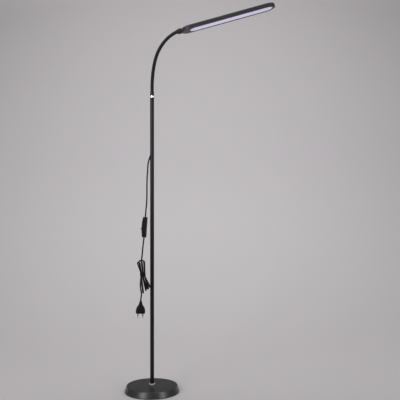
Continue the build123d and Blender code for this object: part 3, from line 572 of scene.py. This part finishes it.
# ---------------------------------------------------------------- finishes
FINISH = {
    "base": coated("satin charcoal powder coat", grey(0.012, (1, 1, 1.05)), grey(0.016, (1, 1, 1.05)),
                   (0.27, 0.33), 18, 1400, 0.4, 0.2, 0.00002, dust=0.01, ior=1.12, side_coat=1.0,
                   coat_roughness=0.32),
    "pole": coated("satin black pole paint", grey(0.005), grey(0.008), (0.27, 0.33), 25, 1600, 0.5,
                   0.1, 0.00001, ior=1.3),
    "neck": coated("black plated neck wire", grey(0.006), grey(0.01), (0.3, 0.4), 60, 2500, 0.2,
                   0.2, 0.00002, ior=1.36),
    "collar": coated("satin black collar paint", grey(0.013), grey(0.018), (0.34, 0.42), 60, 1800, 0.4,
                     0.2, 0.00002, ior=1.4),
    "head": coated("fine charcoal head moulding", grey(0.026, (1, 0.98, 1.08)), grey(0.033, (1, 0.98, 1.08)),
                   (0.4, 0.48), 14, 2200, 0.3, 0.3, 0.00003, dust=0.02, ior=1.36),
    "chrome": coated("polished chrome", grey(0.9), grey(0.94), (0.03, 0.07), 40, bump=0.05,
                     depth=0.00001, metallic=1.0, turned=5000.0),
    "steel": coated("plain bright steel", grey(0.5), grey(0.58), (0.25, 0.4), 80, bump=0.2,
                    depth=0.00002, metallic=1.0, turned=3500.0),
    "iron": coated("rough cast iron", grey(0.05), grey(0.09), (0.6, 0.8), 60, 500, 0.8, 0.8, 0.0004),
    "foam": coated("black foam pad", grey(0.02), grey(0.03), (0.8, 0.95), 120, 900, 0.8, 0.8, 0.0003),
    "opal": coated("frosted opal panel", grey(0.83, (1, 0.955, 1.14)), grey(0.86, (1, 0.955, 1.14)),
                   (0.38, 0.46), 8, 3000, 0.1, 0.1, 0.00001),
    "white": coated("matt white plastic", grey(0.75), grey(0.8), (0.5, 0.6), 30, 1800, 0.3, 0.2, 0.00002),
    "board": coated("white solder mask", grey(0.7), grey(0.76), (0.3, 0.4), 50, 1200, 0.3, 0.1, 0.00001),
    "led": coated("clear yellow lens", (0.75, 0.55, 0.12, 1), (0.8, 0.62, 0.18, 1), (0.12, 0.2), 300),
    "plate": coated("mill aluminium", grey(0.6), grey(0.68), (0.35, 0.5), 20, 800, 0.2, 0.3, 0.00003,
                    metallic=1.0),
    "driver": coated("green circuit board", (0.01, 0.07, 0.03, 1), (0.015, 0.09, 0.04, 1), (0.35, 0.45),
                     60, 1200, 0.3, 0.2, 0.00002),
    "component": coated("dark component case", grey(0.03), grey(0.05), (0.4, 0.55), 150, 1500),
    "wire": coated("red core insulation", (0.35, 0.02, 0.015, 1), (0.42, 0.03, 0.02, 1), (0.3, 0.4), 100),
    "cord": coated("black cord sheath", grey(0.006), grey(0.009), (0.4, 0.5), 45, 1500, 0.6, 0.3, 0.00004,
                   ior=1.24),
    "switch": coated("black switch moulding", grey(0.007), grey(0.01), (0.36, 0.46), 60, 2600, 0.3,
                     0.4, 0.00003, ior=1.24),
    "rocker": coated("gloss black rocker", grey(0.006), grey(0.009), (0.16, 0.24), 90, 2600, 0.2,
                     0.1, 0.00001),
    "brass": coated("plain brass", (0.6, 0.42, 0.16, 1), (0.68, 0.5, 0.2, 1), (0.25, 0.35), 90, metallic=1.0),
    "plug": coated("black plug moulding", grey(0.006), grey(0.009), (0.4, 0.5), 50, 2200, 0.4,
                   0.3, 0.00003, ior=1.2),
    "pin": coated("nickel plated pin", grey(0.84, (1, 0.98, 0.95)), grey(0.9, (1, 0.98, 0.95)),
                  (0.15, 0.25), 120, bump=0.1, depth=0.00001, metallic=1.0, turned=4000.0),
}

NECK_LINKS = 10
NODE_FINISH = {
    "base": ["base_cover"],
    "iron": ["base_weight"],
    "foam": ["base_pad"],
    "chrome": ["base_collar", "pole_ring"],
    "steel": [
        "base_bolt", "base_washer", "base_lock_washer", "pole_foot_insert", "pole_socket",
        "pole_stud", "pole_top_insert", "neck_stud", "rocker_pin", "switch_screws",
        "neck_end_fitting", "head_spindle", "spindle_screw", "board_screws",
    ],
    "pole": ["pole_lower", "pole_upper", "neck_ferrule"],
    "neck": [f"neck_link_{i:02d}" for i in range(1, NECK_LINKS + 1)],
    "collar": ["neck_collar", "swivel_washer"],
    "head": ["head_housing", "head_bezel"],
    "opal": ["diffuser"],
    "white": ["light_frame"],
    "board": ["led_board"],
    "led": ["leds"],
    "plate": ["heat_plate"],
    "driver": ["driver_board"],
    "component": ["driver_parts"],
    "wire": ["head_leads"],
    "cord": ["cord_gland", "cord_upper", "cord_lower", "cord_hank", "plug_lead", "pole_lead", "cord_tie"],
    "switch": ["switch_front", "switch_back", "plug_sleeves"],
    "rocker": ["rocker"],
    "brass": ["switch_contacts"],
    "plug": ["plug_body"],
    "pin": ["plug_pins"],
}  # fmt: skip


def dress_nodes():
    """Gives every carried-over node its finish."""
    for finish, names in NODE_FINISH.items():
        for name in names:
            NODES[name].data.materials.clear()
            NODES[name].data.materials.append(FINISH[finish])


dress_nodes()
upper_lead.data.materials.append(FINISH["cord"])
lower_lead.data.materials.append(FINISH["cord"])

# ---------------------------------------------------------------- gooseneck
NECK_START = 1138.5 * MM
NECK_STEP = 25.9 * MM
NECK_TILTS = [0.0, 2.8, 5.5, 9.0, 13.5, 20.5, 29.0, 37.5, 47.0, 59.0]
WIRE_CREST = 6.7 * MM
WIRE_TURNS = 10
WIRE_SIDES = 8
WIRE_ROUND_STEPS = 20
WIRE_FULLNESS = 0.53
WIRE_INSET = 0.42
WIRE_FLATNESS = 0.8
CORE_INSET = 0.45
CORE_RINGS = 12
NECK_SHADING = 80
HEAD_RISE = 15.5


def neck_pivots():
    """The centres of the balls that the neck bends about, from its foot to its end."""
    points = [Vector((0, 0, NECK_START))]
    for tilt in NECK_TILTS:
        lean = radians(tilt)
        points.append(points[-1] + NECK_STEP * Vector((sin(lean), 0, cos(lean))))
    return points


PIVOTS = neck_pivots()


def wound_wire(length, turns):
    """A close-wound length of slightly flattened wire over a plain core, upright from the origin."""
    pitch = length / turns
    bpy.ops.object.select_all(action="DESELECT")
    bpy.ops.mesh.primitive_circle_add(
        vertices=WIRE_SIDES, radius=pitch * WIRE_FULLNESS,
        location=(WIRE_CREST - pitch * WIRE_INSET, 0, 0),
        rotation=(radians(90), 0, 0),
    )  # fmt: skip
    wire = bpy.context.object
    wire.scale = (WIRE_FLATNESS, 1, 1)
    bake_place(wire)
    winding = wire.modifiers.new("winding", "SCREW")
    winding.axis = "Z"
    winding.angle = 2 * pi
    winding.screw_offset = pitch
    winding.iterations = turns
    winding.steps = winding.render_steps = WIRE_ROUND_STEPS
    winding.use_smooth_shade = True
    apply_all(wire)
    bpy.ops.object.mode_set(mode="EDIT")
    bpy.ops.mesh.select_all(action="DESELECT")
    bpy.ops.mesh.select_mode(type="EDGE")
    bpy.ops.mesh.select_non_manifold()
    bpy.ops.mesh.edge_face_add()
    bpy.ops.object.mode_set(mode="OBJECT")
    core_radius = WIRE_CREST - pitch * CORE_INSET
    rings = [(core_radius, length * ring / CORE_RINGS) for ring in range(CORE_RINGS + 1)]
    core = spun([(0, 0), *rings, (0, length)], WIRE_ROUND_STEPS)
    bpy.ops.object.select_all(action="DESELECT")
    core.select_set(True)
    wire.select_set(True)
    bpy.context.view_layer.objects.active = wire
    bpy.ops.object.join()
    return wire


def bend_over(piece, length, degrees):
    """Bends an upright piece evenly towards +X, so that its top leans by that much."""
    low = min(v.co.z for v in piece.data.vertices)
    high = max(v.co.z for v in piece.data.vertices)
    bend = piece.modifiers.new("bend", "SIMPLE_DEFORM")
    bend.deform_method = "BEND"
    bend.deform_axis = "Y"
    bend.angle = radians(degrees) * (high - low) / length
    apply_all(piece)


def leaning_place(start, tilt):
    """A place at start, leaning towards +X by tilt degrees."""
    return Matrix.Translation(start) @ Matrix.Rotation(radians(tilt), 4, "Y")


def neck_sheath():
    """The wound neck, in lengths from the middle of one link to the middle of the next."""
    middles = [(a + b) / 2 for a, b in zip(PIVOTS, PIVOTS[1:])]
    ends = [
        ("neck_wire_foot", PIVOTS[0], NECK_TILTS[0], "stand", "neck_link_01"),
        ("neck_wire_top", middles[-1], NECK_TILTS[-1], "neck_10", "neck_link_10"),
    ]
    for name, start, tilt, body, link in ends:
        piece = wound_wire(NECK_STEP / 2, WIRE_TURNS // 2)
        set_place(piece, leaning_place(start, tilt))
        finish_piece(name, piece, FINISH["neck"], NECK_SHADING)
        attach(piece, body)
        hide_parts(link)
    for i in range(len(middles) - 1):
        turn = NECK_TILTS[i + 1] - NECK_TILTS[i]
        length = NECK_STEP / 2 / tan(radians(turn) / 2) * radians(turn)
        piece = wound_wire(length, WIRE_TURNS)
        bend_over(piece, length, turn)
        set_place(piece, leaning_place(middles[i], NECK_TILTS[i]))
        finish_piece(f"neck_wire_{i + 1:02d}", piece, FINISH["neck"], NECK_SHADING)
        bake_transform(piece)
        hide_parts(f"neck_link_{i + 2:02d}")


neck_sheath()


# ---------------------------------------------------------------- plug, rocker and swivel
PLUG_FACE = Vector((-42.6, -19.0, 298.7)) * MM
PLUG_TILT = 1.7
PLUG_LAYERS = [
    (15.4, 5.4, 0.0),
    (16.8, 6.5, 0.9),
    (17.5, 6.85, 4.5),
    (17.5, 6.85, 11.5),
    (16.7, 6.8, 16.5),
    (15.3, 6.5, 20.5),
    (13.8, 6.0, 24.5),
    (11.2, 5.4, 28.5),
    (8.6, 5.1, 31.5),
    (7.5, 5.0, 33.5),
]
RELIEF_FOOT = 34.0
RELIEF_TIP = 48.3
RELIEF_RINGS = 5
RELIEF_WIDE = (7.2, 5.0)
RELIEF_SLIM = (4.3, 3.9)
RELIEF_GROOVE = 0.7
RELIEF_END = 0.8
RING_SHARE = 0.55
GROOVE_SHARES = (0.68, 0.9)
PLUG_SHADING = 50

SWITCH_CENTRE = Vector((-27.6, -7.0, 624.2)) * MM
SWITCH_TILT = 3.9
ROCKER_PIVOT = 7.4 * MM
ROCKER_THROW = 11.0
ROCKER_HALF = 10.0
ROCKER_WIDTH = 13.0 * MM
ROCKER_DISH = 3.4
ROCKER_ENDS = (6.2, 5.2)
ROCKER_ROOT = 2.2
ROCKER_STEPS = 8
ROCKER_EDGE = 0.55 * MM
ROCKER_EDGE_STEPS = 3
ROCKER_SHADING = 40

SHROUD_SPAN = (15.8, 21.4)
SHROUD_R = (9.3, 10.75)
SHROUD_EDGE = 0.6
SHROUD_STEPS = 64
SHROUD_SHADING = 40


def relief_layers():
    """Tapered strain relief, grooved round between its rings."""
    pitch = (RELIEF_TIP - RELIEF_FOOT) / RELIEF_RINGS
    layers = []
    for ring in range(RELIEF_RINGS):
        share = ring / (RELIEF_RINGS - 1)
        wide, thick = (a + share * (b - a) for a, b in zip(RELIEF_WIDE, RELIEF_SLIM))
        low = RELIEF_FOOT + ring * pitch
        layers += [(wide, thick, low), (wide, thick, low + RING_SHARE * pitch)]
        if ring < RELIEF_RINGS - 1:
            slim = (wide - RELIEF_GROOVE, thick - RELIEF_GROOVE)
            layers += [(*slim, low + share_up * pitch) for share_up in GROOVE_SHARES]
    layers.append((RELIEF_END * RELIEF_SLIM[0], RELIEF_END * RELIEF_SLIM[1], RELIEF_TIP))
    return layers


def plug_moulding():
    """Flat two-pin plug, widest near its face, drawn in to its strain relief."""
    layers = [tuple(size * MM for size in layer) for layer in PLUG_LAYERS + relief_layers()]
    piece = stacked(layers)
    set_place(piece, leaning_place(PLUG_FACE, PLUG_TILT))
    finish_piece("plug_moulding", piece, FINISH["plug"], PLUG_SHADING)
    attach(piece, "stand")
    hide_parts("plug_body")


def rocker_button():
    """Dished rocker, its lower end the one that stands out."""
    outline = []
    for step in range(-ROCKER_STEPS, ROCKER_STEPS + 1):
        along = step / ROCKER_STEPS
        end = ROCKER_ENDS[0] if along < 0 else ROCKER_ENDS[1]
        depth = ROCKER_DISH + (end - ROCKER_DISH) * along**2
        outline.append((-depth * MM, along * ROCKER_HALF * MM))
    for depth, along in ((0, 1), (ROCKER_ROOT, 0.5), (ROCKER_ROOT, -0.5), (0, -1)):
        outline.append((depth * MM, along * ROCKER_HALF * MM))
    piece = drawn_slab(outline, ROCKER_WIDTH)
    add_bevel(piece, ROCKER_EDGE, ROCKER_EDGE_STEPS, ROCKER_SHADING)
    place = leaning_place(SWITCH_CENTRE, SWITCH_TILT)
    set_place(piece, place @ leaning_place(Vector((-ROCKER_PIVOT, 0, 0)), ROCKER_THROW))
    finish_piece("rocker_button", piece, FINISH["rocker"], ROCKER_SHADING)
    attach(piece, "rocker")
    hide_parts("rocker")


def swivel_shroud():
    """Round band that covers the gap between the neck's collar and the head."""
    low, high = SHROUD_SPAN
    inner, outer = SHROUD_R
    edge = SHROUD_EDGE
    outline = [
        (inner, low), (outer - edge, low), (outer, low + edge), (outer, high - 2 * edge),
        (outer - edge, high - edge / 2), (outer - 2 * edge, high), (inner, high), (inner, low),
    ]  # fmt: skip
    piece = spun([(radius * MM, height * MM) for radius, height in outline], SHROUD_STEPS)
    set_place(piece, leaning_place(PIVOTS[-1], 90 - HEAD_RISE))
    finish_piece("swivel_shroud", piece, FINISH["collar"], SHROUD_SHADING)
    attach(piece, "head")


plug_moulding()
rocker_button()
swivel_shroud()


# ---------------------------------------------------------------- studio
SWEEP_MIDDLE = (0.2, -1.2, 0)
SWEEP_FLOOR = (14, 6, 1)
SWEEP_HEIGHT = 5
SWEEP_BEND = 1.0
SWEEP_STEPS = 24
SWEEP_SHADING = 60
# The paper's colour is painted with light: a painted pool of light, lightest round a place behind the lamp
# and dimmer away from it, and a brighter colour, painted bounce light, for rays that only light the lamp.
PAINTED_POOL_MIDDLE = (0.25, 1.6, 0.72)
PAINTED_POOL_SPREAD = (0.45, 0.5, 1.0)
PAINTED_POOL_REACH = 1.36
PAINTED_POOL_FALL = 1.8
PAPER_PAINTED_LIT = (0.6, 0.58, 0.575, 1)
PAPER_PAINTED_SHADE = (0.405, 0.387, 0.383, 1)
PAPER_PAINTED_BOUNCE = (0.86, 0.84, 0.93, 1)
AIR_SEEN = (0.38, 0.372, 0.376, 1)
AIR_LIGHT = (0.1, 0.1, 0.1, 1)
SOFT_BOXES = [
    ("key box", (-1.45, -1.95, 1.7), (0.1, 0, 0.8), (1.3, 1.7), 44),
    ("fill box", (2.05, -1.65, 1.35), (0.1, 0, 0.7), (0.9, 1.7), 22),
    ("top box", (0.25, 0.6, 3.4), (0.2, 0.3, 0.5), (2.4, 1.2), 48),
]


def add_backdrop():
    """Plain seamless sweep under and behind the lamp."""
    bpy.ops.object.select_all(action="DESELECT")
    bpy.ops.mesh.primitive_plane_add(size=1, location=SWEEP_MIDDLE)
    sweep = bpy.context.object
    sweep.scale = SWEEP_FLOOR
    bake_place(sweep)
    pick_points(sweep, lambda co: co.y > 0)
    bpy.ops.mesh.extrude_region_move(TRANSFORM_OT_translate={"value": (0, 0, SWEEP_HEIGHT)})
    pick_points(sweep, lambda co: co.y > 0 and co.z < 0.1)
    bpy.ops.mesh.select_mode(type="EDGE")
    bpy.ops.mesh.bevel(offset=SWEEP_BEND, segments=SWEEP_STEPS, affect="EDGES")
    bpy.ops.object.mode_set(mode="OBJECT")
    smooth_below(sweep, SWEEP_SHADING)
    sweep.name = "backdrop"
    sweep.data.materials.append(backdrop_paper())


def seen_directly(tree):
    """1 where a ray comes from the camera or by way of metal or glass, 0 where it only lights."""
    ray = tree.nodes.new("ShaderNodeLightPath")
    total = ray.outputs["Is Camera Ray"]
    for kind in ("Is Glossy Ray", "Is Transmission Ray"):
        total = combined(tree, "MAXIMUM", total, ray.outputs[kind])
    return total


def backdrop_paper():
    """Pale grey paper, clear from its back, with light painted into its colour: a painted pool of light,
    lighter round a place behind the lamp and dimmer away from it, and a brighter paper colour, painted bounce
    light, for rays that only light the lamp.
    """
    paper = bpy.data.materials.new("pale grey paper with painted light")
    paper.use_nodes = True
    tree = paper.node_tree
    shader = tree.nodes["Principled BSDF"]
    where = tree.nodes.new("ShaderNodeTexCoord")
    away = where.outputs["Object"]
    for operation, given in (("SUBTRACT", PAINTED_POOL_MIDDLE), ("MULTIPLY", PAINTED_POOL_SPREAD)):
        step = tree.nodes.new("ShaderNodeVectorMath")
        step.operation = operation
        tree.links.new(away, step.inputs[0])
        step.inputs[1].default_value = given
        away = step.outputs[0]
    distance = tree.nodes.new("ShaderNodeVectorMath")
    distance.operation = "LENGTH"
    tree.links.new(away, distance.inputs[0])
    # Painted pool of light: the paper's colour fades from the painted lit tone near the middle to the painted
    # shade tone away from it.
    fall = combined(tree, "POWER", distance.outputs["Value"], PAINTED_POOL_FALL)
    painted_pool_fade = stretch(tree, fall, 0.0, PAINTED_POOL_REACH**PAINTED_POOL_FALL, 0.0, 1.0)
    painted_pool_color = mixed(tree, painted_pool_fade, PAPER_PAINTED_LIT, PAPER_PAINTED_SHADE)
    # Camera, metal and glass see the painted pool of light. Rays that only light the lamp see a brighter
    # paper colour, which is painted bounce light.
    tree.links.new(mixed(tree, seen_directly(tree), PAPER_PAINTED_BOUNCE, painted_pool_color), shader.inputs["Base Color"])
    shader.inputs["Roughness"].default_value = 0.8
    shader.inputs["Specular IOR Level"].default_value = 0.1
    clear = tree.nodes.new("ShaderNodeBsdfTransparent")
    facing = tree.nodes.new("ShaderNodeNewGeometry")
    one_sided = tree.nodes.new("ShaderNodeMixShader")
    tree.links.new(facing.outputs["Backfacing"], one_sided.inputs["Fac"])
    tree.links.new(shader.outputs[0], one_sided.inputs[1])
    tree.links.new(clear.outputs[0], one_sided.inputs[2])
    tree.links.new(one_sided.outputs[0], tree.nodes["Material Output"].inputs["Surface"])
    return paper


def soft_light(name, place, aim, size, power):
    """A rectangular soft box aimed at a point."""
    direction = Vector(aim) - Vector(place)
    bpy.ops.object.light_add(type="AREA", location=place,
                             rotation=direction.to_track_quat("-Z", "Y").to_euler())  # fmt: skip
    lamp = bpy.context.object
    lamp.name = name
    lamp.data.shape = "RECTANGLE"
    lamp.data.size, lamp.data.size_y = size
    lamp.data.energy = power


def add_lights():
    """Three soft boxes and the air of the room."""
    for box in SOFT_BOXES:
        soft_light(*box)
    world = bpy.data.worlds.new("studio air")
    bpy.context.scene.world = world
    world.use_nodes = True
    tree = world.node_tree
    tone = mixed(tree, seen_directly(tree), AIR_LIGHT, AIR_SEEN)
    tree.links.new(tone, tree.nodes["Background"].inputs["Color"])


add_backdrop()
add_lights()
bpy.context.scene.view_settings.view_transform = "Standard"


bpy.context.view_layer.update()
